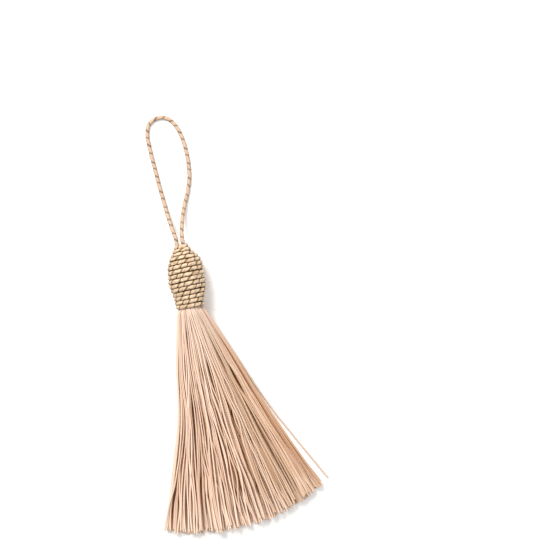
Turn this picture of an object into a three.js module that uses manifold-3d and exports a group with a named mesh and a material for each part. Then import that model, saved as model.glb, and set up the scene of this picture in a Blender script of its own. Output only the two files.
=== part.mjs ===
// Hanging tassel, laid on its side: a head wound with cord, a skirt of loose yarn and a loop of the same cord.
// Millimetres, +Z up. +Y runs from the skirt to the loop, and +X is to the right, seen from above.
// The origin is on the surface that it lies on, under one of the widest turns of the head.

import * as THREE from "three";
import { mergeVertices } from "three/addons/utils/BufferGeometryUtils.js";
import Module from "manifold-3d";

const wasm = await Module();
wasm.setup();

// Driving dimensions: the cord, which the head is wound with and the loop is made of
const cordDiameter = 1.5;
const bindingPitch = 2.9; // one turn of the fine thread that binds the cord
const bindingDepth = 0.2; // how far that thread bites into it
const cordSides = 8;
const stepsPerBinding = 6;

// Driving dimensions: the head
const headLength = 23.3; // mouth to top
const restAboveMouth = 8.7; // the turn over the origin
const widestRadius = 7.1;
const flatDepth = 0.4; // how far the widest turns are pressed in where they lie
const windingPitch = 1.64; // one turn of cord to the next
const windingGroove = 0.45; // depth of the groove between two turns
const windingSides = 24;
const windingRows = 4; // points across one turn of cord
const recessRadius = 4.75; // the mouth, where the skirt's plug sits
const recessDepth = 3.2;
const seatGap = 0.3; // gap between pieces that touch

// Driving dimensions: the skirt
const edgeLength = { left: 81.9, right: 79.5 }; // mouth to cut ends, at the fan's two edges
const middleExtra = 2.6; // how much longer the middle strands are
const strandCount = 240;
const strandRootReach = 4.25; // furthest strand from the head's axis at the mouth
const bundleSide = 0.93; // the bundle's left and right sides, where it is pressed flat, of that reach
const plugFace = 0.4; // the plug's lower face, above the mouth
const fanLeft = THREE.MathUtils.degToRad(-12.1); // outer strands, from the head's axis
const fanRight = THREE.MathUtils.degToRad(24.3);
const strayTurn = THREE.MathUtils.degToRad(2.2); // how far the last strand lies apart from the rest
const mouthBend = 0.6; // length over which a strand turns to its own direction
const fanThickness = { middle: 4.8, edge: 3.2 }; // height of the cut ends above the surface
const floorShare = 0.06; // share of the strands that lies on the surface
const lockCount = 19;
const lockPull = 0.5; // how far a lock's strands draw together, of its width
const lockLean = 0.7; // how far a lock leans over from the surface to its top, of its width
const lockWander = { size: 0.3, waves: 3.4 }; // how uneven the locks' widths are across the fan
const cutUnevenness = 1.8; // difference in length between strands

const goldenStep = (Math.sqrt(5) - 1) / 2;
const cutOverrun = 1; // how far a cut runs past what it cuts
const headAxisHeight = widestRadius - flatDepth;
const mouthY = -restAboveMouth;
const topY = mouthY + headLength;
const cordRadius = cordDiameter / 2;

// Outline of the head over its turns, from the mouth up. off is how far a turn lies to the right of the axis.
const headOutline = [
  { above: 0, radius: 5.55, off: 0.05 },
  { above: 1.8, radius: 5.75, off: 0.25 },
  { above: 3.8, radius: 6.0, off: 0.4 },
  { above: 5.8, radius: 6.45, off: 0.4 },
  { above: 7.8, radius: 6.9, off: 0.32 },
  { above: 9.8, radius: widestRadius, off: 0.3 },
  { above: 11.8, radius: 7.06, off: 0.35 },
  { above: 13.8, radius: 6.93, off: 0.42 },
  { above: 15.3, radius: 6.75, off: 0.5 },
  { above: 16.8, radius: 6.35, off: 0.57 },
  { above: 18.1, radius: 5.73, off: 0.57 },
  { above: 19.5, radius: 4.85, off: 0.5 },
  { above: 20.9, radius: 3.75, off: 0.35 },
  { above: 22.1, radius: 2.95, off: 0.22 },
  { above: headLength, radius: 2.5, off: 0.15 },
];

// Sections along a strand, from its root to its cut end. swell is how far the bundle opens once the head lets
// go of it, settle how far it has come down to the surface, flatten how far it has gone from the round of the
// mouth to the fan of the ends, and clump how far its locks have drawn together.
const strandSections = [
  { along: -1.4, swell: 1, settle: 0, flatten: 0, clump: 0, width: 0.28 },
  { along: 0.4, swell: 1, settle: 0, flatten: 0, clump: 0, width: 0.28 },
  { along: 3, swell: 1.16, settle: 0.06, flatten: 0.02, clump: 0, width: 0.31 },
  { along: 9, swell: 1.2, settle: 0.27, flatten: 0.08, clump: 0.05, width: 0.36 },
  { along: 24, swell: 1.2, settle: 0.78, flatten: 0.3, clump: 0.3, width: 0.46 },
  { along: 44, swell: 1.2, settle: 1, flatten: 0.6, clump: 0.7, width: 0.5 },
  { cutEnd: true, swell: 1.2, settle: 1, flatten: 1, clump: 1, width: 0.5 },
];

// Route of the loop's middle line: out of the top of the head, down to the surface, round and back
const loopRoute = [
  [-1.15, topY + seatGap, headAxisHeight],
  [-1.4, 17.0, 6.3],
  [-1.95, 19.6, 5.3],
  [-2.5, 22.2, 4.0],
  [-3.1, 25.2, 2.6],
  [-3.6, 28.8, 1.3],
  [-4.05, 32.4, 0.82],
  [-4.5, 36.0, 0.78],
  [-5.1, 42.0, 0.78],
  [-5.5, 46.0, 0.78],
  [-5.85, 49.4, 0.78],
  [-6.05, 52.5, 0.78],
  [-6.25, 55.6, 0.78],
  [-6.0, 57.9, 0.78],
  [-5.4, 60.0, 0.78],
  [-4.2, 61.5, 0.78],
  [-2.2, 62.5, 0.78],
  [0.3, 62.7, 0.78],
  [2.6, 61.7, 0.78],
  [4.5, 59.5, 0.78],
  [5.9, 56.3, 0.78],
  [6.8, 52.4, 0.78],
  [7.25, 48.2, 0.78],
  [7.3, 44.0, 0.78],
  [6.75, 38.6, 0.78],
  [5.2, 33.4, 0.82],
  [3.6, 29.4, 1.2],
  [2.3, 25.4, 2.5],
  [1.55, 22.0, 4.1],
  [1.15, 19.4, 5.4],
  [1.0, 17.0, 6.3],
  [0.95, topY + seatGap, headAxisHeight],
];

const windingMaterial = new THREE.MeshStandardMaterial({ color: 0xd3ad88, roughness: 0.5, metalness: 0 });
const yarnMaterial = new THREE.MeshStandardMaterial({ color: 0xdcb89c, roughness: 0.45, metalness: 0 });
const loopMaterial = new THREE.MeshStandardMaterial({ color: 0xd6b08c, roughness: 0.5, metalness: 0 });

function solidOf(geometry) {
  const bare = geometry.clone();
  bare.deleteAttribute("normal");
  bare.deleteAttribute("uv");
  const merged = mergeVertices(bare, 1e-5);
  const mesh = new wasm.Mesh({
    numProp: 3,
    vertProperties: new Float32Array(merged.attributes.position.array),
    triVerts: new Uint32Array(merged.index.array),
  });
  return new wasm.Manifold(mesh);
}

function geometryOf(solid) {
  const mesh = solid.getMesh();
  const geometry = new THREE.BufferGeometry();
  geometry.setAttribute("position", new THREE.BufferAttribute(mesh.vertProperties, 3));
  geometry.setIndex(new THREE.BufferAttribute(mesh.triVerts, 1));
  geometry.computeVertexNormals();
  return geometry;
}

function indexedGeometry(points, triangles) {
  const geometry = new THREE.BufferGeometry().setFromPoints(points);
  geometry.setIndex(triangles.flat());
  return geometry;
}

// A closed body through rings of points, each ring anticlockwise as seen from the ring after it
function bodyThroughRings(rings) {
  const sides = rings[0].length;
  const last = (rings.length - 1) * sides;
  const triangles = [];
  for (let ring = 0; ring < rings.length - 1; ring += 1) {
    for (let side = 0; side < sides; side += 1) {
      const a = ring * sides + side;
      const b = ring * sides + ((side + 1) % sides);
      triangles.push([a, b, b + sides], [a, b + sides, a + sides]);
    }
  }
  for (let side = 1; side < sides - 1; side += 1) {
    triangles.push([0, side + 1, side], [last, last + side, last + side + 1]);
  }
  return indexedGeometry(rings.flat(), triangles);
}

// A round bar along the head's axis, from one height above the mouth to another
function axialBar(radius, from, to) {
  const bar = new THREE.CylinderGeometry(radius, radius, to - from, 2 * windingSides);
  return bar.translate(0, mouthY + (from + to) / 2, headAxisHeight);
}

// The wound surface: a strip as wide as one turn that climbs round the axis, each turn meeting the one above.
// It runs past the mouth and the top by more than a turn, and ends there in a fan to the axis. The crest of one
// turn passes right over the origin.
function woundForm() {
  const outline = new THREE.CubicInterpolant(
    headOutline.map((row) => row.above),
    headOutline.flatMap((row) => [row.radius, row.off]),
    2,
  );
  const spareTurns = 2;
  const firstTurn = ((restAboveMouth / windingPitch) % 1) - spareTurns;
  const turns = Math.ceil(headLength / windingPitch) + spareTurns;
  const steps = turns * windingSides;
  const points = [];

  function addPoint(step, row) {
    const angle = (2 * Math.PI * step) / windingSides;
    const across = row / windingRows;
    const above = (firstTurn + step / windingSides + across) * windingPitch;
    const fromCrest = 2 * across - 1;
    const groove = windingGroove * (1 - Math.sqrt(1 - fromCrest ** 2));
    const [crestRadius, off] = outline.evaluate(THREE.MathUtils.clamp(above, 0, headLength));
    const radius = crestRadius - groove;
    const height = headAxisHeight + radius * Math.cos(angle);
    points.push(new THREE.Vector3(off + radius * Math.sin(angle), mouthY + above, height));
  }

  for (let step = 0; step <= steps; step += 1) {
    for (let row = 0; row < windingRows; row += 1) {
      addPoint(step, row);
    }
  }
  for (let step = steps + 1; step <= steps + windingSides; step += 1) {
    addPoint(step, 0);
  }

  function pointAt(step, row) {
    if (row === windingRows) {
      return pointAt(step + windingSides, 0);
    }
    return step <= steps ? step * windingRows + row : (steps + 1) * windingRows + step - steps - 1;
  }

  const triangles = [];
  for (let step = 0; step < steps; step += 1) {
    for (let row = 0; row < windingRows; row += 1) {
      const a = pointAt(step, row);
      const b = pointAt(step + 1, row);
      const c = pointAt(step + 1, row + 1);
      const d = pointAt(step, row + 1);
      triangles.push([a, b, c], [a, c, d]);
    }
  }

  function addEnd(firstStep, above, facesUp) {
    const centre = points.push(new THREE.Vector3(0, mouthY + above, headAxisHeight)) - 1;
    const rim = [];
    for (let step = 0; step <= windingSides; step += 1) {
      rim.push(pointAt(firstStep + step, 0));
    }
    for (let row = windingRows - 1; row > 0; row -= 1) {
      rim.push(pointAt(firstStep, row));
    }
    rim.forEach((point, index) => {
      const next = rim[(index + 1) % rim.length];
      triangles.push(facesUp ? [centre, point, next] : [centre, next, point]);
    });
  }

  addEnd(0, (firstTurn + 0.5) * windingPitch, false);
  addEnd(steps, (firstTurn + turns + 0.5) * windingPitch, true);
  return indexedGeometry(points, triangles);
}

function makeHead() {
  const trimRadius = 2 * widestRadius;
  const trim = solidOf(axialBar(trimRadius, 0, headLength));
  const recess = solidOf(axialBar(recessRadius, -cutOverrun, recessDepth));
  const belowSurface = new THREE.BoxGeometry(2 * trimRadius, 2 * headLength, trimRadius);
  belowSurface.translate(0, 0, -trimRadius / 2);
  const wound = solidOf(woundForm()).intersect(trim).subtract(recess).subtract(solidOf(belowSurface));
  return geometryOf(wound);
}

// Place across the bundle that has the given share of its area on the left
function acrossBundle(share) {
  const areaFromMiddle = (across) => across * Math.sqrt(1 - across ** 2) + Math.asin(across);
  const wanted = (2 * share - 1) * areaFromMiddle(bundleSide);
  let low = -bundleSide;
  let high = bundleSide;
  for (let halving = 0; halving < 40; halving += 1) {
    const across = (low + high) / 2;
    if (areaFromMiddle(across) < wanted) {
      low = across;
    } else {
      high = across;
    }
  }
  return low;
}

function fraction(value) {
  return value - Math.floor(value);
}

// Strands fill the mouth evenly: each one has a place across it, and a height that steps by the golden ratio
function strandAt(index) {
  const share = (index + 0.5) / strandCount;
  const height = fraction((index + 0.5) * goldenStep);
  const wander = lockWander.size * Math.sin(2 * Math.PI * lockWander.waves * share);
  const placeInLock = fraction(share * lockCount + wander + lockLean * height) - 0.5;
  const straightLength = THREE.MathUtils.lerp(edgeLength.left, edgeLength.right, share);
  const bulge = 4 * share * (1 - share);
  return {
    share,
    height,
    across: acrossBundle(share),
    pull: (lockPull * placeInLock) / lockCount,
    turn: index === strandCount - 1 ? strayTurn : 0,
    length: straightLength + middleExtra * bulge + cutUnevenness * (fraction(index * Math.SQRT2) - 0.5),
  };
}

function strandRing(strand, section) {
  const { lerp } = THREE.MathUtils;
  const chord = Math.sqrt(1 - strand.across ** 2);
  const placeInFan = strand.share - strand.pull * section.clump;
  const angle = lerp(fanLeft, fanRight, placeInFan) + strand.turn * section.clump;
  const along = section.cutEnd ? strand.length : section.along;
  const reach = along > 0 ? along - mouthBend * (1 - Math.exp(-along / mouthBend)) : 0;
  const x = strandRootReach * strand.across * section.swell + reach * Math.sin(angle);
  const y = mouthY - (along - reach) - reach * Math.cos(angle);

  const sectionHeight = (section.width * Math.sqrt(3)) / 2;
  const lowest = lerp(headAxisHeight - strandRootReach * chord - sectionHeight / 3, 0, section.settle);
  const endThickness = lerp(fanThickness.edge, fanThickness.middle, chord ** 2);
  const thickness = lerp(2 * strandRootReach * chord, endThickness - sectionHeight, section.flatten);
  const offSurface = Math.max(0, strand.height - floorShare) / (1 - floorShare);
  const base = lowest + thickness * lerp(strand.height, offSurface, section.settle);

  const halfWidth = section.width / 2;
  const sideX = halfWidth * Math.cos(angle);
  const sideY = halfWidth * Math.sin(angle);
  return [
    new THREE.Vector3(x - sideX, y - sideY, base),
    new THREE.Vector3(x + sideX, y + sideY, base),
    new THREE.Vector3(x, y, base + sectionHeight),
  ];
}

function makeSkirt() {
  const solids = [solidOf(axialBar(recessRadius - seatGap, plugFace, recessDepth - seatGap))];
  for (let index = 0; index < strandCount; index += 1) {
    const strand = strandAt(index);
    solids.push(solidOf(bodyThroughRings(strandSections.map((section) => strandRing(strand, section)))));
  }
  return geometryOf(wasm.Manifold.union(solids));
}

// The cord, with the groove that its binding thread presses into it, which runs round like the stroke of an S
function makeLoop() {
  const route = new THREE.CatmullRomCurve3(loopRoute.map((point) => new THREE.Vector3(...point)));
  const length = route.getLength();
  const steps = Math.round((length / bindingPitch) * stepsPerBinding);
  const frames = route.computeFrenetFrames(steps, false);
  const rings = [];
  for (let step = 0; step <= steps; step += 1) {
    const middle = route.getPointAt(step / steps);
    const binding = (-2 * Math.PI * step) / stepsPerBinding;
    const ring = [];
    for (let side = 0; side < cordSides; side += 1) {
      const angle = (2 * Math.PI * side) / cordSides;
      const bite = bindingDepth * (0.5 + 0.5 * Math.cos(angle - binding)) ** 2;
      const point = middle.clone();
      point.addScaledVector(frames.normals[step], (cordRadius - bite) * Math.cos(angle));
      point.addScaledVector(frames.binormals[step], (cordRadius - bite) * Math.sin(angle));
      ring.push(point);
    }
    rings.push(ring);
  }
  return bodyThroughRings(rings);
}

function named(name, geometry, material) {
  const mesh = new THREE.Mesh(geometry, material);
  mesh.name = name;
  return mesh;
}

const tassel = new THREE.Group();
tassel.add(named("head", makeHead(), windingMaterial));
tassel.add(named("skirt", makeSkirt(), yarnMaterial));
tassel.add(named("hanging_loop", makeLoop(), loopMaterial));

export default tassel;
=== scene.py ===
import bpy
import math
import random
from bisect import bisect_left
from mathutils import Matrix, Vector


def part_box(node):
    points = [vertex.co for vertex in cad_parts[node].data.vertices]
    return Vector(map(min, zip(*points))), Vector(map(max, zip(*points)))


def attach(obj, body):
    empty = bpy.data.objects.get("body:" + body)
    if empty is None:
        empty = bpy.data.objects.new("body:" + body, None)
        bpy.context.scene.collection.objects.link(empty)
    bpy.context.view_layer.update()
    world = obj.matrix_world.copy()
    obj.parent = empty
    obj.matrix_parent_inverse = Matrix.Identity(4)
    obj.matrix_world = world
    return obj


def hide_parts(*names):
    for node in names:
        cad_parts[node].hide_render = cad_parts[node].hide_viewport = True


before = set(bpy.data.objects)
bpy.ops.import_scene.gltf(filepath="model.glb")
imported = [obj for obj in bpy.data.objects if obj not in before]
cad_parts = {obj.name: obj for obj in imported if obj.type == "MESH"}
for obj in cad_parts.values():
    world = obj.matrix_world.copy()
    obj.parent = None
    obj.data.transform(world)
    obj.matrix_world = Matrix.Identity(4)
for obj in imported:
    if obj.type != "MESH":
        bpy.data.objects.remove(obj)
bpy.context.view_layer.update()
print("frame loaded:", ", ".join(sorted(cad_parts)))

mm = 0.001
fullTurn = 2 * math.pi
waveTurn = 6.28  # a full turn, near enough for the waves of the yarn
headLow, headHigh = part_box("head")
mouthY = headLow.y
topY = headHigh.y


# Numbers and paths

def smoothStep(value):
    value = min(max(value, 0), 1)
    return value * value * (3 - 2 * value)


def rise(value, ramp):
    # smoothly from 0 where the ramp starts to 1 where it ends
    start, over = ramp
    return smoothStep((value - start) / over)


def blend(first, second, share):
    return first + (second - first) * share


def smoothPath(points, perStretch):
    # Catmull-Rom through given points
    points = [Vector(p) for p in points]
    ends = [2 * points[0] - points[1]] + points + [2 * points[-1] - points[-2]]
    path = []
    for a, b, c, d in zip(ends, ends[1:], ends[2:], ends[3:]):
        for part in range(perStretch):
            t = part / perStretch
            path.append(0.5 * (2 * b + (c - a) * t + (2 * a - 5 * b + 4 * c - d) * t ** 2
                               + (3 * b - a - 3 * c + d) * t ** 3))
    return path + [points[-1]]


def alongTable(rows, place, column=1):
    # value of a column at a place, in rows whose first number is the place
    after = min(max(bisect_left([row[0] for row in rows], place), 1), len(rows) - 1)
    low, high = rows[after - 1], rows[after]
    share = min(max((place - low[0]) / (high[0] - low[0]), 0), 1)
    return blend(low[column], high[column], share)


# Node trees: a wire is one socket, so that maths on it reads as maths

def plug(tree, value, socket):
    if isinstance(value, Wire):
        tree.links.new(value.socket, socket)
    else:
        socket.default_value = value


class Wire:
    def __init__(self, tree, socket):
        self.tree = tree
        self.socket = socket

    def other(self, out):
        return Wire(self.tree, self.socket.node.outputs[out])

    def maths(self, operation, *values):
        node = self.tree.nodes.new("ShaderNodeMath")
        node.operation = operation
        for value, socket in zip(values, node.inputs):
            plug(self.tree, value, socket)
        return Wire(self.tree, node.outputs[0])

    def __add__(self, other):
        return self.maths("ADD", self, other)

    def __radd__(self, other):
        return self.maths("ADD", other, self)

    def __sub__(self, other):
        return self.maths("SUBTRACT", self, other)

    def __rsub__(self, other):
        return self.maths("SUBTRACT", other, self)

    def __mul__(self, other):
        return self.maths("MULTIPLY", self, other)

    def __rmul__(self, other):
        return self.maths("MULTIPLY", other, self)

    def __truediv__(self, other):
        return self.maths("DIVIDE", self, other)

    def __rtruediv__(self, other):
        return self.maths("DIVIDE", other, self)

    def __pow__(self, other):
        return self.maths("POWER", self, other)

    def __rpow__(self, other):
        return self.maths("POWER", other, self)

    def cos(self):
        return self.maths("COSINE", self)

    def sin(self):
        return self.maths("SINE", self)

    def clamp(self):
        return self.maths("MINIMUM", self.maths("MAXIMUM", self, 0.0), 1.0)


class Board:
    def __init__(self, tree):
        self.tree = tree

    def node(self, kind, settings=None, inputs=None, out=0):
        made = self.tree.nodes.new(kind)
        for name, value in (settings or {}).items():
            setattr(made, name, value)
        for name, value in (inputs or {}).items():
            plug(self.tree, value, made.inputs[name])
        return Wire(self.tree, made.outputs[out])

    def vector(self, operation, first, second, out=0):
        return self.node("ShaderNodeVectorMath", {"operation": operation}, {0: first, 1: second}, out)

    def join(self, x, y, z):
        return self.node("ShaderNodeCombineXYZ", inputs={"X": x, "Y": y, "Z": z})

    def noise(self, place, detail):
        return self.node("ShaderNodeTexNoise", inputs={"Vector": place, "Scale": 1.0, "Detail": detail})

    def mix(self, share, first, second):
        # the sockets for colours go by number, because a Mix node has several of each name
        return self.node("ShaderNodeMix", {"data_type": "RGBA"}, {0: share, 6: first, 7: second}, 2)


# Camera, light and floor

photoView = {
    "middle": (34.2 * mm, -3.9 * mm, 4 * mm),  # what the middle of the picture shows
    "height": 0.62,  # of the camera
    "width": 207.2 * mm,  # of the picture, at the tassel
    "turn": math.radians(-9),
    "sensor": 36.0,
}

studio = {
    "floorColour": (0.86, 0.855, 0.85, 1),
    "floorSize": 40.0,
    "floorRough": 0.9,
    "floorShine": 0.1,
    "skyColour": (1, 1, 1, 1),
    "skyStrength": 0.62,
    "lamps": [  # name, place, size, watts, colour
        ("keyLamp", (-0.17, 0.37, 0.5), 0.3, 5.6, (1.0, 0.97, 0.93)),
        ("fillLamp", (0.42, -0.12, 0.55), 0.6, 2.0, (1.0, 0.98, 0.96)),
    ],
}


def setCamera(view):
    camera = bpy.data.cameras.new("photoCamera")
    camera.sensor_width = view["sensor"]
    camera.lens = view["sensor"] * (view["height"] - view["middle"][2]) / view["width"]
    holder = bpy.data.objects.new("photoCamera", camera)
    holder.location = (view["middle"][0], view["middle"][1], view["height"])
    holder.rotation_euler = (0, 0, view["turn"])
    bpy.context.scene.collection.objects.link(holder)
    bpy.context.scene.camera = holder


def setSky(look):
    world = bpy.data.worlds.new("softSky")
    world.use_nodes = True
    sky = world.node_tree.nodes["Background"]
    sky.inputs["Color"].default_value = look["skyColour"]
    sky.inputs["Strength"].default_value = look["skyStrength"]
    bpy.context.scene.world = world


def setLamps(look):
    for name, place, size, watts, colour in look["lamps"]:
        lamp = bpy.data.lights.new(name, "AREA")
        lamp.size = size
        lamp.energy = watts
        lamp.color = colour
        holder = bpy.data.objects.new(name, lamp)
        holder.location = place
        holder.rotation_euler = (-Vector(place)).to_track_quat("-Z", "Y").to_euler()  # looks at the origin
        bpy.context.scene.collection.objects.link(holder)


def setFloor(look):
    half = look["floorSize"] / 2
    corners = [(-half, -half, 0), (half, -half, 0), (half, half, 0), (-half, half, 0)]
    mesh = bpy.data.meshes.new("floor")
    mesh.from_pydata(corners, [], [(0, 1, 2, 3)])
    material = bpy.data.materials.new("paleFloor")
    material.use_nodes = True
    surface = material.node_tree.nodes["Principled BSDF"]
    surface.inputs["Base Color"].default_value = look["floorColour"]
    surface.inputs["Roughness"].default_value = look["floorRough"]
    surface.inputs["Specular IOR Level"].default_value = look["floorShine"]
    mesh.materials.append(material)
    floor = bpy.data.objects.new("floor", mesh)
    bpy.context.scene.collection.objects.link(floor)


bpy.context.scene.view_settings.view_transform = "Standard"
setCamera(photoView)
setSky(studio)
setLamps(studio)
setFloor(studio)
print("camera and studio set")


# Finishes: silky cord and yarn, whose patterns follow the twist stored on the meshes

cordLook = {
    "light": (0.655, 0.52, 0.395, 1), "deep": (0.365, 0.245, 0.135, 1),
    "toneFrom": -1.3, "strandShare": 0.0, "slubShare": 0.1, "streakShare": 3.4,  # from light to deep
    "gold": (0.5, 0.36, 0.2, 1), "goldShare": 0.2,
    # under: the colour of painted shade on strands that lie under others
    "pale": (0.46, 0.33, 0.25, 1), "under": (0.2, 0.11, 0.05, 1),
    "lay": -2.9 * mm, "lobes": 1.0,  # length of one turn of the twist, and its grooves
    "filaments": (1.3, 1100, 240), "slub": 130,  # how fine round the cord and along it, and how they lean
    "dip": (0.07, 0.034, 0.008, 1), "dipNarrow": 11.0, "dipShare": 0.98,  # a dark binding thread, and painted shade in the groove between the turns of its binding
    "between": (0.08, 0.036, 0.007, 1), "betweenShare": 0.97,  # painted shade where cord lies beside cord
    "crownFrom": 0.7, "crownSoft": 0.28,
    "rough": 0.42, "streakRough": 0.16, "betweenRough": 0.4,
    "relief": 0.12 * mm, "streakRelief": 1.0, "twistRelief": 0.0,  # depth, and what is raised by it
    "shine": 0.3, "shineTint": (1.0, 0.76, 0.5, 1),
}

yarnLook = {
    "light": (0.965, 0.813, 0.7, 1), "deep": (0.485, 0.325, 0.22, 1),
    "toneFrom": 0.0, "strandShare": 0.7, "slubShare": 0.2, "streakShare": 0.1,
    "gold": (0.62, 0.43, 0.26, 1), "goldShare": 0.35,
    "pale": (0.565, 0.49, 0.44, 1), "under": (0.4, 0.165, 0.035, 1),
    "lay": -1.7 * mm, "lobes": 2.0,
    "filaments": (3.0, 130, 60), "slub": 45,
    "dip": (0.5, 0.3, 0.18, 1), "dipNarrow": 2.0, "dipShare": 0.5,
    "between": (0.5, 0.14, 0.0, 1), "betweenShare": 0.8,
    "crownFrom": 0.93, "crownSoft": 0.6,
    "rough": 0.3, "streakRough": 0.16, "betweenRough": 0.4,
    "relief": 0.07 * mm, "streakRelief": 0.3, "twistRelief": 0.7,
    "shine": 0.3, "shineTint": (1.0, 0.78, 0.56, 1),
}

patternShift = (31, 17, 53)  # times a strand's shade, so that each strand has its own pattern


def silkFinish(name, look):
    material = bpy.data.materials.new(name)
    material.use_nodes = True
    board = Board(material.node_tree)
    surface = material.node_tree.nodes["Principled BSDF"]

    def read(attribute, out=2):
        return board.node("ShaderNodeAttribute", {"attribute_name": attribute}, out=out)

    shade = read("shade")
    around = board.node("ShaderNodeSeparateXYZ", inputs={"Vector": read("ply", 1)})
    along = around.other(2)
    turn = around.maths("ARCTAN2", around.other(1), around)
    valley = ((turn - along * (fullTurn / look["lay"])) * look["lobes"]).cos() * 0.5 + 0.5

    # fine filaments lie almost along the cord, and each strand has its own
    own = board.join(*[shade * shift for shift in patternShift])
    roundRate, alongRate, lean = look["filaments"]
    fibre = turn + along * lean
    filaments = board.join(fibre.cos() * roundRate, fibre.sin() * roundRate, along * alongRate)
    streak = board.noise(board.vector("ADD", filaments, own), detail=3.0)
    lengthwise = board.join(0.0, 0.0, along * look["slub"])
    slub = board.noise(board.vector("ADD", lengthwise, own), detail=2.0)

    tone = look["toneFrom"] + shade * look["strandShare"]
    tone = tone + slub * look["slubShare"] + streak * look["streakShare"]
    silk = board.mix(tone.clamp(), look["light"], look["deep"])
    silk = board.mix(read("tint") * look["goldShare"], silk, look["gold"])
    # the pale colour, which near the skirt's mouth is painted sheen
    silk = board.mix(read("pale"), silk, look["pale"])
    # painted shade on strands that lie under others and in the slits
    silk = board.mix(read("under"), silk, look["under"])
    # painted shade where a cord or strand faces its neighbours
    between = ((look["crownFrom"] - read("crown")) / look["crownSoft"]).clamp() * read("crowd")
    silk = board.mix(between * look["betweenShare"], silk, look["between"])
    # the dip: painted shade in the grooves of the twist, and on the cord also its dark binding thread
    silk = board.mix(valley ** look["dipNarrow"] * look["dipShare"] * read("plied"), silk, look["dip"])
    plug(board.tree, silk, surface.inputs["Base Color"])
    rough = look["rough"] + look["streakRough"] * streak + look["betweenRough"] * between
    plug(board.tree, rough, surface.inputs["Roughness"])
    relief = streak * look["streakRelief"] - valley * look["twistRelief"]
    bump = board.node("ShaderNodeBump",
                      inputs={"Strength": 1.0, "Distance": look["relief"], "Height": relief})
    plug(board.tree, bump, surface.inputs["Normal"])
    surface.inputs["Specular IOR Level"].default_value = look["shine"]
    surface.inputs["Specular Tint"].default_value = look["shineTint"]
    return material


cordSilk = silkFinish("boundCordSilk", cordLook)
yarnSilk = silkFinish("skirtYarnSilk", yarnLook)
print("finishes made")


# Spun yarn: one tree sweeps every cord, strand and fibre along its path and presses its twist in

yarnInputs = [
    ("Paths", "Geometry"), ("Radius", "Float"), ("Step", "Float"), ("Sides", "Int"), ("Lay", "Float"),
    ("Uneven", "Float"), ("Groove", "Float"), ("Narrow", "Float"), ("Finish", "Material"),
]
unevenRates = (410, 1130)  # of the waves that make the twist irregular, radians a metre


def makeYarnTree():
    tree = bpy.data.node_groups.new("spunYarn", "GeometryNodeTree")
    for name, kind in yarnInputs:
        tree.interface.new_socket(name, in_out="INPUT", socket_type="NodeSocket" + kind)
    tree.interface.new_socket("Yarn", in_out="OUTPUT", socket_type="NodeSocketGeometry")
    board = Board(tree)
    given = tree.nodes.new("NodeGroupInput")
    size = {socket.name: Wire(tree, socket) for socket in given.outputs if socket.name}

    def named(name, kind="FLOAT"):
        return board.node("GeometryNodeInputNamedAttribute", {"data_type": kind}, {"Name": name})

    def store(geometry, name, value, kind="FLOAT"):
        return board.node("GeometryNodeStoreNamedAttribute", {"data_type": kind, "domain": "POINT"},
                          {"Geometry": geometry, "Name": name, "Value": value})

    curves = board.node("GeometryNodeMeshToCurve", inputs={"Mesh": size["Paths"]})
    curves = board.node("GeometryNodeCurveSplineType", {"spline_type": "CATMULL_ROM"}, {"Curve": curves})
    curves = board.node("GeometryNodeResampleCurve", {"mode": "LENGTH"},
                        {"Curve": curves, "Length": size["Step"]})
    length = board.node("GeometryNodeSplineParameter", out=1)
    uneven = (length * unevenRates[0]).sin() + (length * unevenRates[1]).sin()
    curves = store(curves, "along", length + uneven * size["Uneven"])
    curves = store(curves, "middle", board.node("GeometryNodeInputPosition"), "FLOAT_VECTOR")

    ring = board.node("GeometryNodeCurvePrimitiveCircle", {"mode": "RADIUS"},
                      {"Resolution": size["Sides"], "Radius": size["Radius"]})
    ring = store(ring, "turn", board.node("GeometryNodeInputIndex") * fullTurn / size["Sides"])
    yarn = board.node("GeometryNodeCurveToMesh", inputs={
        "Curve": curves, "Profile Curve": ring, "Scale": named("thick"), "Fill Caps": True})

    # ply says where on the cord a point is, and crown how far it faces away from the cord's neighbours; the
    # finish paints shade where it faces them
    turn = named("turn")
    along = named("along")
    here = board.node("GeometryNodeInputPosition")
    outward = board.vector("SUBTRACT", here, named("middle", "FLOAT_VECTOR"))
    facing = board.node("ShaderNodeVectorMath", {"operation": "NORMALIZE"}, {0: outward})
    yarn = store(yarn, "crown", board.vector("DOT_PRODUCT", facing, named("up", "FLOAT_VECTOR"), 1))
    yarn = store(yarn, "ply", board.join(turn.cos(), turn.sin(), along), "FLOAT_VECTOR")

    valley = ((turn - along * fullTurn / size["Lay"]).cos() * 0.5 + 0.5) ** size["Narrow"]
    press = board.node("ShaderNodeVectorMath", {"operation": "SCALE"},
                       {0: outward, "Scale": valley * size["Groove"] * -1})
    yarn = board.node("GeometryNodeSetPosition", inputs={"Geometry": yarn, "Offset": press})
    for helper in ("turn", "middle", "along", "up", "thick"):
        yarn = board.node("GeometryNodeRemoveAttribute", inputs={"Geometry": yarn, "Name": helper})
    yarn = board.node("GeometryNodeSetShadeSmooth", inputs={"Geometry": yarn})
    yarn = board.node("GeometryNodeRealizeInstances", inputs={"Geometry": yarn})
    yarn = board.node("GeometryNodeSetMaterial", inputs={"Geometry": yarn, "Material": size["Finish"]})
    finished = tree.nodes.new("NodeGroupOutput")
    plug(tree, yarn, finished.inputs["Yarn"])
    return tree


yarnTree = makeYarnTree()
print("yarn tree made")

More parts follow.
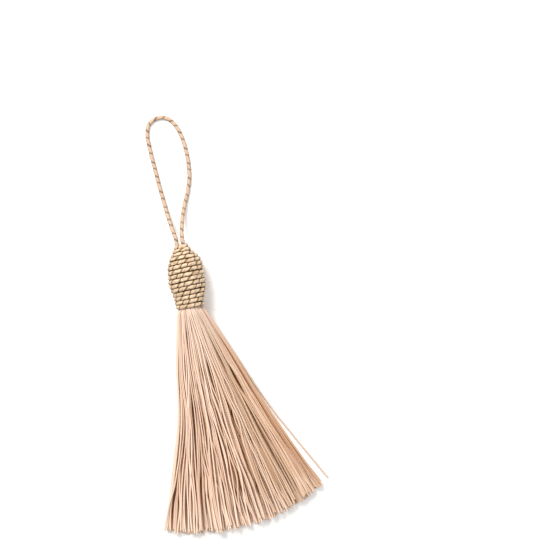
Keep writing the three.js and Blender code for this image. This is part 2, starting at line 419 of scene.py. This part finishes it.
usualPath = {  # what a path's points say where nothing else is given
    "thick": 1.0,  # of the radius
    "crowd": 0.0,  # how much painted shade it gets where it faces its neighbours
    "plied": 1.0,  # how much the twist's dip shows: painted shade in its grooves, on the cord also its binding thread
    # pale: how far it turns to the pale colour; near the skirt's mouth this is painted sheen
    "pale": 0.0,
    "under": 0.0,  # painted shade: how far it lies in the shade of other strands
    "shade": 0.5,  # from light to deep
    "tint": 0.0,  # how golden it is
    "up": Vector((0, 0, 1)),  # away from the neighbours: the side that gets no painted shade
}


def asPath(points, **given):
    # a value is given as a list, one for each point, or once for all of them
    path = {"points": points}
    for name, usual in usualPath.items():
        value = given.get(name, usual)
        path[name] = value if isinstance(value, list) else [value] * len(points)
    return path


def layLines(name, paths):
    points, links = [], []
    for path in paths:
        first = len(points)
        points += path["points"]
        links += [(first + n, first + n + 1) for n in range(len(path["points"]) - 1)]
    lines = bpy.data.meshes.new(name)
    lines.from_pydata(points, links, [])
    for value in usualPath:
        if value == "up":
            numbers = [number for path in paths for up in path["up"] for number in up]
            lines.attributes.new("up", "FLOAT_VECTOR", "POINT").data.foreach_set("vector", numbers)
        else:
            numbers = [number for path in paths for number in path[value]]
            lines.attributes.new(value, "FLOAT", "POINT").data.foreach_set("value", numbers)
    guide = bpy.data.objects.new(name, lines)
    bpy.context.scene.collection.objects.link(guide)
    return guide


def spin(name, paths, sizes):
    guide = layLines(name + "Lines", paths)
    modifier = guide.modifiers.new("spunYarn", "NODES")
    modifier.node_group = yarnTree
    for socket in yarnTree.interface.items_tree:
        if socket.in_out == "INPUT" and socket.name in sizes:
            modifier[socket.identifier] = sizes[socket.name]
    seen = guide.evaluated_get(bpy.context.evaluated_depsgraph_get())
    mesh = bpy.data.meshes.new_from_object(seen)
    mesh.name = name
    guide.modifiers.remove(modifier)
    bpy.data.objects.remove(guide)
    piece = bpy.data.objects.new(name, mesh)
    bpy.context.scene.collection.objects.link(piece)
    triangles = sum(len(face.vertices) - 2 for face in mesh.polygons)
    print(name, "spun:", len(paths), "paths,", triangles, "triangles")
    return piece


def place(piece, node, slot):
    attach(piece, "root")
    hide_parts(node)


# Head: bound cord wound turn beside turn over the neck of the yarn

head = {
    "outline": [  # above the mouth, outer radius, how far the turn lies to the right, millimetres
        (0, 5.55, 0.05), (1.8, 5.75, 0.25), (3.8, 6.0, 0.4), (5.8, 6.45, 0.4), (7.8, 6.9, 0.32),
        (9.8, 7.1, 0.3), (11.8, 7.06, 0.35), (13.8, 6.93, 0.42), (15.3, 6.75, 0.5), (16.8, 6.35, 0.57),
        (18.1, 5.73, 0.57), (19.5, 4.85, 0.5), (20.9, 3.75, 0.35), (22.1, 2.95, 0.22), (23.3, 2.5, 0.15),
    ],
    "perStretch": 12,  # points from one row of the outline to the next
    "pitch": 1.64 * mm,
    "firstTurn": 0.94,  # above the mouth, of the cord's radius
    "lastTurn": 0.5,  # below the top, of the cord's radius
    "levelTurns": 3,  # turns over which the winding goes from level at the mouth to its climb
    "stepUp": (0.8, 0.2),  # where in a level turn it steps up to the next
    "uneven": 0.09 * mm,
    "waves": 5,
    "waveRate": (0.3, 2.2),  # waves in a turn
    "pointsPerTurn": 40,
    # full painted shade where the turns of the winding lie side by side
    "tones": {"shade": 0.45, "tint": 0.5, "crowd": 1.0},
    "seed": 4,
}

cordSizes = {
    "Radius": 0.75 * mm, "Step": 0.2 * mm, "Sides": 14, "Lay": cordLook["lay"], "Uneven": 0.28 * mm,
    "Groove": 0.22, "Narrow": 9.0, "Finish": cordSilk,
}
windingSwell = 1.09  # the cord is a little thicker where it is wound
axisHeight = headHigh.z - max(row[1] for row in head["outline"]) * mm


def climbTo(turn):
    # height of the winding in turns: the first turns are level and step up, and the later ones climb
    whole = math.floor(turn)
    part = turn - whole
    climb = min(1, turn / head["levelTurns"])
    return whole + climb * (part - 0.5) + (1 - climb) * rise(part, head["stepUp"])


def makeHead():
    rng = random.Random(head["seed"])
    radius = cordSizes["Radius"] * windingSwell
    outline = [p * mm for p in smoothPath(head["outline"], head["perStretch"])]
    up = [math.hypot(b.x - a.x, b.y - a.y) for a, b in zip(outline, outline[1:])]
    rows = [(sum(up[:n]), *outline[n]) for n in range(len(outline))]  # measured along the outline
    waves = [(rng.uniform(*head["waveRate"]), rng.uniform(0, waveTurn)) for _ in range(head["waves"])]
    points, ups = [], []
    step = 0
    while True:
        turn = step / head["pointsPerTurn"]
        climbed = head["firstTurn"] * radius + head["pitch"] * climbTo(turn)
        above = alongTable(rows, climbed)
        if above > topY - mouthY - head["lastTurn"] * radius:
            break
        ripple = sum(math.sin(rate * turn * fullTurn + phase) for rate, phase in waves) / 2
        uneven = head["uneven"] * ripple
        fromAxis = alongTable(rows, climbed, 2) - radius - abs(uneven)
        angle = fullTurn * turn + math.pi  # starts underneath
        x = fromAxis * math.sin(angle) + alongTable(rows, climbed, 3)
        y = mouthY + above + uneven
        z = max(axisHeight + fromAxis * math.cos(angle), radius)
        points.append(Vector((x, y, z)))
        slope = (alongTable(outline, above + radius) - alongTable(outline, above - radius)) / (2 * radius)
        # the way out of the head, where the cord gets no painted shade between the turns
        ups.append(Vector((math.sin(angle), -slope, math.cos(angle))).normalized())
        step += 1
    path = asPath(points, thick=windingSwell, up=ups, **head["tones"])
    place(spin("woundHead", [path], cordSizes), "head", "wound_cord")


makeHead()


# Hanging loop: one length of the same cord, both ends in the top of the head

loop = {
    "rootDepth": 1.6 * mm,  # how far the ends go into the head
    "legs": (-1.15 * mm, 0.95 * mm),  # where they leave it
    "route": [  # millimetres, out of the head, down to the floor, round and back
        (-1.4, 17.0, 6.3), (-1.95, 19.6, 5.3), (-2.5, 22.2, 4.0), (-3.1, 25.2, 2.6), (-3.6, 28.8, 1.3),
        (-4.05, 32.4, 0.82), (-4.5, 36.0, 0.78), (-5.1, 42.0, 0.78), (-5.5, 46.0, 0.78), (-5.85, 49.4, 0.78),
        (-6.05, 52.5, 0.78), (-6.25, 55.6, 0.78), (-6.0, 57.9, 0.78), (-5.4, 60.0, 0.78), (-4.2, 61.5, 0.78),
        (-2.2, 62.5, 0.78), (0.3, 62.7, 0.78), (2.6, 61.7, 0.78), (4.5, 59.5, 0.78), (5.9, 56.3, 0.78),
        (6.8, 52.4, 0.78), (7.25, 48.2, 0.78), (7.3, 44.0, 0.78), (6.75, 38.6, 0.78), (5.2, 33.4, 0.82),
        (3.6, 29.4, 1.2), (2.3, 25.4, 2.5), (1.55, 22.0, 4.1), (1.15, 19.4, 5.4), (1.0, 17.0, 6.3),
    ],
    "perStretch": 8,  # points from one place of the route to the next
    # some painted shade on the sides and underside of the cord
    "tones": {"shade": 0.4, "tint": 0.5, "crowd": 0.4, "pale": 0.9},
}


def makeLoop():
    inHead = topY - loop["rootDepth"]
    route = [Vector(point) * mm for point in loop["route"]]
    route.insert(0, Vector((loop["legs"][0], inHead, axisHeight)))
    route.append(Vector((loop["legs"][1], inHead, axisHeight)))
    path = smoothPath(route, loop["perStretch"])
    length = sum((b - a).length for a, b in zip(path, path[1:]))
    piece = spin("hangingLoop", [asPath(path, **loop["tones"])], cordSizes)
    place(piece, "hanging_loop", "loop_cord")
    2 * cordSizes["Radius"]
    print("loop length", round(length / mm, 1), "mm")


makeLoop()


# Skirt: loose yarn that leaves the mouth as a round bundle and lies on the floor as a fan

skirt = {  # millimetres; a place across the fan and a height in the bundle go from 0 to 1
    "seed": 23,
    "strands": 400,
    "layers": 4,  # of locks, one over the other
    "places": (0.002, 0.998),  # least and most place of a strand
    "uneven": 0.008,  # how far strands are out of their even places
    "underUneven": 0.3,  # how much of that is left underneath
    "edgeLength": (81.9, 79.0),  # mouth to cut ends at the fan's edges
    "middleExtra": 2.6,
    "yarn": 0.29,  # radius
    "thick": [(0, 0.85), (12, 1.0), (30, 0.95), (50, 1.0), (80, 1.08)],  # of the radius: the yarn opens out
    "rootRadius": 4.15,
    "swell": 0.2,  # how much wider the bundle gets below the mouth
    "fan": (math.radians(-12.1), math.radians(24.3)),
    "spread": 0.64,  # how much wider the fan gets with each millimetre
    "bend": 0.6,  # length over which a strand turns into its own direction
    "endHeight": (2.8, 4.6),  # of the cut ends, at the fan's edges and in its middle
    "flatten": 0.9,  # power of the way down, by which the bundle gets flat
    "floorShare": 0.06,  # part of the bundle that lies flat on the floor
    "clearance": 1.15,  # least height of a strand over the floor, of the yarn's radius
    "pile": (1.7, 0.85),  # power of the heights at the left and the right: above 1, few strands lie on top
    "tuckLeft": [(0, 0), (12, 0.3), (26, 1.0), (36, 1.9), (43, 2.1), (50, 1.8), (62, 1.0), (80, 0)],
    "tuckRight": [(0, 0), (20, 0.1), (35, 0.7), (48, 0.9), (56, 0.6), (64, 0.2), (72, 0), (82, 0)],
    "tuckReach": 0.35,  # how far into the fan the outer strands curve in
    "strays": [  # place, height, seed, paleness, and how far aside it goes on its way
        (0.999, 0.02, 5, 0.8, [(0, 0), (35, 0), (50, 0.5), (62, 1.5), (72, 2.7), (81, 3.9)]),
        (0.035, 0.98, 6, 0.2, [(0, 0), (56, 0), (64, -0.8), (72, -2.2), (82, -3.8)]),
    ],
    "slits": [  # where strands part: place, below the mouth, half length, half width
        (0.23, 10.5, 6, 0.2), (0.485, 19.5, 8, 0.3), (0.745, 16, 5, 0.2), (0.857, 31, 9, 0.75),
        (0.695, 33.5, 6, 0.4), (0.442, 39.5, 8, 0.5), (0.652, 45.5, 8, 0.8), (0.283, 55, 9, 0.75),
        (0.239, 67, 8, 0.6), (0.282, 70, 8, 0.75), (0.46, 65, 8, 0.7), (0.537, 68, 9, 0.75),
        (0.05, 74, 9, 0.6),
    ],
    "slitReach": 1.4,  # how far from a slit strands still give way
    "stations": [-1.6, -0.6, 0.5, 2, 4, 7] + [10.5 + 3.5 * n for n in range(21)] + [83],
    "rootEnd": 2,  # stations before it are alike on every strand, and the others go by its length
    "under": ("skirtUnderLeft", "skirtUnderRight"),
    "top": ("skirtLeft", "skirtMiddle", "skirtRight"),
    "topFrom": 0.54,  # height from which a strand shows on top
}

ramps = {  # where a change starts, and over how much it is made
    "combed": (0.5, 0.3),  # across the fan: the right of it is combed finer
    "lastRight": (0.86, 0.1),
    "size": (0.15, 0.2),  # up through the bundle
    "onTop": (0.3, 0.3),
    "slitFloor": (0.5, 0.25),
    "lowShade": (-0.88, 0.46),  # down through it, by minus the height
    "swell": (-0.6, 2.6),  # along a strand, in millimetres from the mouth
    "settle": (0, 46),
    "sway": (0, 24),
    "pile": (10, 40),
    "splay": (35, 35),
    "cross": (30, 55),
    "crowd": (0, 30),
    "pale": (0, 34),
    "shadow": (4, 32),
    "twist": (10, 40),
    "even": (25, 40),
    "noShadow": (55, 25),
    "loosen": (60, 20),
    "clump": (0, 45),  # from where its lock draws together
    "tip": (-12, 11),  # from its cut end
    "flare": (-9, 9),
}

topSizes = {
    "Radius": skirt["yarn"] * mm, "Step": 0.9 * mm, "Sides": 8, "Lay": 4 * mm, "Uneven": 0.0,
    "Groove": 0.0, "Narrow": 1.0, "Finish": yarnSilk,
}
underSizes = {**topSizes, "Step": 1.3 * mm, "Sides": 6}


def acrossMouth(share):
    # place across a disc that has that share of its area on the left, by halving
    low, high = -1.0, 1.0
    halvings = 40
    for _ in range(halvings):
        across = (low + high) / 2
        area = 0.5 + (across * math.sqrt(1 - across * across) + math.asin(across)) / math.pi
        low, high = (across, high) if area < share else (low, across)
    return low


def fromMiddle(share, power):
    # 0 in the middle of the fan and 1 at its edges, or -1 at the left one if the power is odd
    return (2 * share - 1) ** power


# Locks: uneven groups of strands, from left to right, that draw together

locks = {
    "count": 28,
    "narrowest": 0.3,
    "widest": 2.6,  # of an even lock
    "middle": (0.3, 0.7),  # of its width
    "half": 0.6,
    "pull": (0.3, 0.9),  # how far its strands draw together
    "from": (-8, 16),
    "longer": (-0.6, 0.6),
    "turn": 0.8,  # degrees
    "sway": (0.2, 0.9),
    "wave": (45, 90),
    "sink": (-0.45, 0.2),
    "combed": {"pull": 0.4, "sway": 0.45, "sink": 0.5},  # how much of these is left where it is combed finer
}


def layLocks(rng):
    laid, at = [], 0.0
    while at < 1:
        width = rng.uniform(locks["narrowest"], 1) ** 2 * locks["widest"] / locks["count"]
        fine = rise(at, ramps["combed"])
        kept = {name: blend(1, part, fine) for name, part in locks["combed"].items()}
        laid.append({
            "middle": at + width * rng.uniform(*locks["middle"]),
            "to": at + width,
            "half": width * locks["half"],
            "pull": rng.uniform(*locks["pull"]) * kept["pull"],
            "from": rng.uniform(*locks["from"]),
            "longer": rng.uniform(*locks["longer"]),
            "turn": rng.gauss(0, locks["turn"]),
            "sway": rng.uniform(*locks["sway"]) * kept["sway"],
            "wave": rng.uniform(*locks["wave"]),
            "phase": rng.uniform(0, waveTurn),
            "sink": rng.uniform(*locks["sink"]) * kept["sink"],
            "tone": rng.random(),
        })
        at += width
    return laid


# Strands: the way of each one, and the values along it that its finish reads

strand = {
    "cut": 0.9,  # how uneven the cut ends are
    "sway": (0.03, 0.2),
    "wave": (22, 55),
    "turn": 1.0,  # degrees
    "combedTurn": 0.65,
    "crossing": 0.15,  # share of the strands that cross their neighbours
    "cross": 2.2,
    "crossLift": 0.12,
    "flare": 0.35,  # how far the cut ends splay
    "lift": (-0.35, 0.25),
    "combedLift": 0.3,
    "rimSink": 0.6,  # how far the edges of a lock sink
    "rimPower": 4,
    "size": (0.75, 1.2),
    "lowSize": 1.25,  # strands at the floor are thicker
    "underFree": 0.2,  # strands underneath stay evenly spread
    "edgePower": 6,  # strands at the edges of the fan keep to it
    "sidePower": 5,  # and face out to its side
    "edgeUp": 2,  # and up
    "edgeUpSoon": 2,
    "buried": 0.35,  # height below which the others face down, so that their tops get painted shade
}

tones = {
    "mouthCrowd": 0.55, "rimCrowd": 0.4,  # painted shade between strands: at the mouth, and more at the edges of a lock
    "lockCrowd": (0.55, 1.0),  # below it, in the middle and at the edges of a lock
    "evenCrowd": 0.78, "looseCrowd": 0.7,  # where the locks have come apart
    "combedCrowd": 0.36, "lastCrowd": 0.6,
    "tipOpen": 0.45, "tipLight": 0.22,  # the cut ends get less painted shade and are painted lighter, as they lie open in the light
    "mouthTwist": 0.2,
    # painted sheen: near the mouth the yarn turns towards its pale colour, less at the edges of a lock
    "mouthSheen": 0.65, "rimSheen": 0.3,
    # painted shade on strands deep in the bundle, less where it is combed finer and at the fan's edges, and
    # in the slits
    "lowShade": 0.82, "combedLowShade": 0.2, "edgePower": 8,
    "slitDark": 1.2,
    "golden": 0.05,  # share of the strands that are of golden yarn
    "tint": (0.1, 0.3),  # of the others at the left and the right
    "ownShade": 0.8, "lightPower": 1.4, "combedShade": 0.65,
}


class Strand:
    def __init__(self, rng, share, height, lock, stray=None):
        self.share = share  # place across the fan
        self.height = height  # in the bundle
        self.lock = lock
        self.stray = stray  # how far aside it goes on its way, if it is a stray one
        self.across = acrossMouth(share)
        self.chord = math.sqrt(1 - self.across * self.across)
        self.fine = rise(share, ramps["combed"])  # 1 where the fan is combed finer
        self.last = rise(share, ramps["lastRight"])  # 1 at the right edge
        self.free = blend(strand["underFree"], 1, rise(height, ramps["onTop"]))  # to leave its even place
        self.inside = self.free * (1 - fromMiddle(share, strand["edgePower"]))
        self.rim = min(1, abs(share - lock["middle"]) / lock["half"])  # 1 at the edges of the lock
        self.drawShape(rng)
        self.drawTones(rng)

    def drawShape(self, rng):
        share = self.share
        self.full = blend(*skirt["edgeLength"], share) + skirt["middleExtra"] * 4 * share * (1 - share)
        self.full += self.lock["longer"] + rng.uniform(-strand["cut"], strand["cut"])
        self.sway = rng.uniform(*strand["sway"])
        self.wave = rng.uniform(*strand["wave"])
        self.phase = rng.uniform(0, waveTurn)
        ownTurn = rng.gauss(0, strand["turn"]) * blend(1, strand["combedTurn"], self.fine)
        self.turn = math.radians(self.lock["turn"] + ownTurn) * self.inside
        crosses = rng.random() < strand["crossing"]
        self.cross = rng.uniform(-strand["cross"], strand["cross"]) * self.inside if crosses else 0.0
        self.flare = 0.0 if self.stray else rng.gauss(0, strand["flare"])
        self.lift = rng.uniform(*strand["lift"]) + strand["crossLift"] * abs(self.cross)
        size = rng.uniform(*strand["size"]) * blend(strand["lowSize"], 1, rise(self.height, ramps["size"]))
        self.thick = [size * alongTable(skirt["thick"], station) for station in skirt["stations"]]

    def drawTones(self, rng):
        golden = rng.random() < tones["golden"]
        self.tint = 1.0 if golden else blend(*tones["tint"], self.share) * rng.random()
        self.tint *= 1 - self.last
        self.shade = blend(self.lock["tone"], rng.random(), tones["ownShade"]) ** tones["lightPower"]
        self.shade += tones["combedShade"] * self.fine
        # painted shade on a strand that lies deep in the bundle
        lowShade = tones["lowShade"] * rise(-self.height, ramps["lowShade"])
        lowShade *= blend(1, tones["combedLowShade"], self.fine)
        lowShade *= 1 - fromMiddle(self.share, tones["edgePower"])
        self.lowShade = 0.0 if self.stray else lowShade

    def clump(self, along):
        return rise(along - self.lock["from"], ramps["clump"])

    def heading(self, along):
        # strands of a lock draw together, and splay again towards the cut ends
        splay = 1 - rise(along, ramps["splay"])
        drawn = (self.share - self.lock["middle"]) * self.lock["pull"] * self.clump(along) * splay * self.free
        return blend(*skirt["fan"], self.share - drawn) + self.turn

    def aside(self, along):
        # how far it is beside its straight way, without the slits
        lock = self.lock
        aside = self.sway * math.sin(along / self.wave * waveTurn + self.phase) * self.clump(along)
        sweep = lock["sway"] * math.sin(along / lock["wave"] * waveTurn + lock["phase"])
        aside += sweep * rise(along, ramps["sway"]) * self.inside
        flared = self.flare * rise(along - self.full, ramps["flare"])
        aside += self.cross * rise(along, ramps["cross"]) + flared
        nearLeft = max(0, 1 - self.share / skirt["tuckReach"]) ** 2
        aside += alongTable(skirt["tuckLeft"], along) * nearLeft
        if self.stray:
            return aside + alongTable(self.stray, along)
        nearRight = max(0, (self.share - (1 - skirt["tuckReach"])) / skirt["tuckReach"]) ** 2
        return aside - alongTable(skirt["tuckRight"], along) * nearRight

    def slits(self, along):
        # how far the slits push it aside, and how wide they are open here
        pushed, opened = 0.0, 0.0
        for at, middle, half, width in skirt["slits"]:
            away = (self.share - at) * (2 * skirt["rootRadius"] + skirt["spread"] * along)
            lengthwise = smoothStep(1 - abs(along - middle) / half)
            part = width * lengthwise * math.exp(-(away / skirt["slitReach"]) ** 2)
            pushed += math.copysign(part, away) * self.free
            opened += part
        return pushed, opened

    def level(self, along, swell):
        # height over the floor
        settle = rise(along, ramps["settle"])
        flatten = max(0, along / self.full) ** skirt["flatten"]
        bundle = skirt["rootRadius"] * swell * self.chord
        low = blend(axisHeight / mm - bundle, skirt["yarn"], settle)
        depth = blend(2 * bundle, blend(*skirt["endHeight"], self.chord * self.chord), flatten)
        offFloor = max(0, self.height - skirt["floorShare"]) / (1 - skirt["floorShare"])
        offFloor **= blend(1, blend(*skirt["pile"], self.fine), rise(along, ramps["pile"]))
        sink = self.lock["sink"] - strand["rimSink"] * self.rim ** strand["rimPower"]
        own = (sink * self.height + self.lift) * self.clump(along) * blend(1, strand["combedLift"], self.fine)
        return low + depth * blend(self.height, offFloor, settle) + own

    def point(self, along, angle, aside, wide):
        swell = 1 + skirt["swell"] * rise(along, ramps["swell"])
        reach = along - skirt["bend"] * (1 - math.exp(-along / skirt["bend"])) if along > 0 else 0
        x = skirt["rootRadius"] * self.across * swell + reach * math.sin(angle) + aside * math.cos(angle)
        y = -(along - reach) - reach * math.cos(angle) + aside * math.sin(angle)
        z = max(self.level(along, swell), max(wide, skirt["clearance"]) * skirt["yarn"])
        return Vector((x * mm, mouthY + y * mm, z * mm))

    # the side of a strand free of neighbours, which gets no painted shade
    def openSide(self, angle):
        side = fromMiddle(self.share, strand["sidePower"])
        atEdge = min(1, strand["edgeUpSoon"] * abs(side))
        upward = blend(self.height - strand["buried"], strand["edgeUp"], atEdge)
        return Vector((side * math.cos(angle), side * math.sin(angle), upward)).normalized()

    def neighbourShadeAt(self, along, tip):
        inLock = blend(*tones["lockCrowd"], self.rim * self.rim)
        inLock = blend(inLock, tones["evenCrowd"], rise(along, ramps["even"]))
        inLock *= blend(1, tones["looseCrowd"], rise(along, ramps["loosen"]))
        # less painted shade at the cut ends
        inLock *= 1 - tones["tipOpen"] * tip
        crowd = blend(tones["mouthCrowd"] + tones["rimCrowd"] * self.rim, inLock, rise(along, ramps["crowd"]))
        return crowd * blend(1, tones["combedCrowd"] + tones["lastCrowd"] * self.last, self.fine)

    # painted shade deep in the bundle and in the slits
    def underAt(self, station, opened):
        shadow = self.lowShade * rise(station, ramps["shadow"]) * (1 - rise(station, ramps["noShadow"]))
        inSlit = tones["slitDark"] * opened * (1 - rise(self.height, ramps["slitFloor"]))
        return min(1, shadow + inSlit)

    def path(self):
        points = []
        values = {name: [] for name in ("crowd", "plied", "pale", "under", "shade", "up")}
        for station, wide in zip(skirt["stations"], self.thick):
            atRoot = station < skirt["rootEnd"]
            along = station if atRoot else station * self.full / skirt["stations"][-1]
            angle = self.heading(along)
            pushed, opened = self.slits(along)
            points.append(self.point(along, angle, self.aside(along) + pushed, wide))
            tip = rise(along - self.full, ramps["tip"])
            # painted sheen near the mouth, less at the edges of a lock
            mouthSheen = tones["mouthSheen"] - tones["rimSheen"] * self.rim
            values["crowd"].append(self.neighbourShadeAt(along, tip))
            values["plied"].append(blend(tones["mouthTwist"], 1.0, rise(along, ramps["twist"])))
            values["pale"].append(blend(mouthSheen, 0.0, rise(along, ramps["pale"])))
            values["under"].append(self.underAt(station, opened))
            # painted light: the cut ends are lighter
            values["shade"].append(self.shade * (1 - tones["tipLight"] * tip))
            values["up"].append(self.openSide(angle))
        return asPath(points, thick=self.thick, tint=self.tint, **values)


def groupFor(names, share):
    return names[int(share * len(names))]


def layStrands(rng):
    layers = [layLocks(rng) for _ in range(skirt["layers"])]
    golden = (math.sqrt(5) - 1) / 2  # steps of it fill the heights evenly
    groups = {name: [] for name in skirt["under"] + skirt["top"]}
    first, last = skirt["places"]
    for index in range(skirt["strands"]):
        share = (index + 0.5) / skirt["strands"]
        height = (index + 0.5) * golden % 1
        loose = blend(skirt["underUneven"], 1, rise(height, ramps["onTop"]))
        share = min(max(share + rng.uniform(-1, 1) * skirt["uneven"] * loose, first), last)
        layer = layers[int(height * skirt["layers"])]
        lock = next(lock for lock in layer if share < lock["to"])
        names = skirt["under"] if height < skirt["topFrom"] else skirt["top"]
        groups[groupFor(names, share)].append(Strand(rng, share, height, lock).path())
    return groups


strayLock = {  # a stray strand is in no lock
    "half": 1, "pull": 0, "from": 10, "longer": -0.4, "turn": 0, "sway": 0, "wave": 50, "phase": 0,
    "sink": 0, "tone": 0.2,
}


def layStrays(groups):
    for share, height, seed, pale, aside in skirt["strays"]:
        alone = {**strayLock, "middle": share}
        path = Strand(random.Random(seed), share, height, alone, aside).path()
        for name, value in (("tint", 0.0), ("crowd", 0.0), ("pale", pale)):
            path[name] = [value] * len(path["points"])
        groups[groupFor(skirt["top"], share)].append(path)


# Fray: loose fibres at the cut end of each strand

fray = {  # millimetres
    "fibres": 3,
    "radius": 0.06,
    "length": (0.5, 1.0),
    "splay": (0.25, 0.25, 0.2),
    "rootDepth": 0.6,  # how far inside the strand they start
    "shade": 0.3,
}

fibreSizes = {**topSizes, "Radius": fray["radius"] * mm, "Step": 0.5 * mm, "Sides": 3}
fibreSteps = (0, 0.5, 1)  # a fibre is a curve through three points


def frayedEnd(rng, path):
    end = path["points"][-1]
    onward = (end - path["points"][-3]).normalized()
    fibres = []
    for _ in range(fray["fibres"]):
        reach = rng.uniform(*fray["length"]) * mm
        away = Vector([rng.gauss(0, splay) for splay in fray["splay"]])
        start = end - fray["rootDepth"] * mm * onward + away * skirt["yarn"] * mm
        line = [start + onward * reach * t + away * reach * t * t for t in fibreSteps]
        line = [Vector((p.x, p.y, max(p.z, fray["radius"] * mm))) for p in line]
        fibres.append(asPath(line, shade=fray["shade"] * rng.random(), plied=0.0))
    return fibres


def makeSkirt():
    rng = random.Random(skirt["seed"])
    groups = layStrands(rng)
    layStrays(groups)
    fibres = [fibre for paths in groups.values() for path in paths for fibre in frayedEnd(rng, path)]
    for name, paths in groups.items():
        piece = spin(name, paths, underSizes if name in skirt["under"] else topSizes)
        place(piece, "skirt", "skirt_yarn")
    place(spin("skirtFray", fibres, fibreSizes), "skirt", "skirt_yarn")


makeSkirt()


# Wisps: fine fibres that stand out of the winding and the mouth

wisps = {  # millimetres
    "seed": 8,
    "radius": 0.035,
    "long": [  # seen beside the head and the mouth
        [(6.6, -0.3, 6.0), (8.3, -0.75, 6.6), (10.0, -0.8, 6.4)],
        [(5.9, -1.6, 5.6), (7.6, -1.8, 6.0), (9.1, -2.2, 5.6)],
        [(5.6, -8.9, 5.4), (7.4, -10.4, 5.2), (9.2, -11.2, 4.6)],
        [(-6.2, 3.4, 5.0), (-7.2, 3.9, 5.2), (-7.9, 4.8, 5.0)],
    ],
    "longTones": {"shade": 0.3, "tint": 0.2, "pale": 0.6, "plied": 0.0},
    "short": 90,
    "above": (0.5, 22.5),  # the mouth
    "angle": (-1.9, 1.9),  # round the head from its top, radians
    "lean": 0.6,  # along the head
    "curl": 0.3,
    "rootDepth": 0.25,
    "length": (0.35, 1.0),
    "shortTones": {"tint": 0.3, "pale": 0.5, "plied": 0.0},
}

wispSizes = {**fibreSizes, "Radius": wisps["radius"] * mm, "Step": 0.3 * mm, "Finish": cordSilk}


def makeWisps():
    rng = random.Random(wisps["seed"])
    outline = smoothPath(head["outline"], head["perStretch"])
    hairs = [asPath([Vector(p) * mm for p in line], **wisps["longTones"]) for line in wisps["long"]]
    for _ in range(wisps["short"]):
        above = rng.uniform(*wisps["above"])
        angle = rng.uniform(*wisps["angle"])
        radius = alongTable(outline, above)
        out = Vector((math.sin(angle), rng.gauss(0, wisps["lean"]), math.cos(angle))).normalized()
        side = Vector([rng.gauss(0, 1) for _ in range(3)]) * wisps["curl"]
        start = Vector((alongTable(outline, above, 2), mouthY / mm + above, axisHeight / mm))
        start += Vector((math.sin(angle), 0, math.cos(angle))) * (radius - wisps["rootDepth"])
        reach = rng.uniform(*wisps["length"])
        line = [(start + (out * t + side * t * t) * reach) * mm for t in fibreSteps]
        hairs.append(asPath(line, shade=rng.random(), **wisps["shortTones"]))
    place(spin("headWisps", hairs, wispSizes), "head", "wound_cord")


makeWisps()
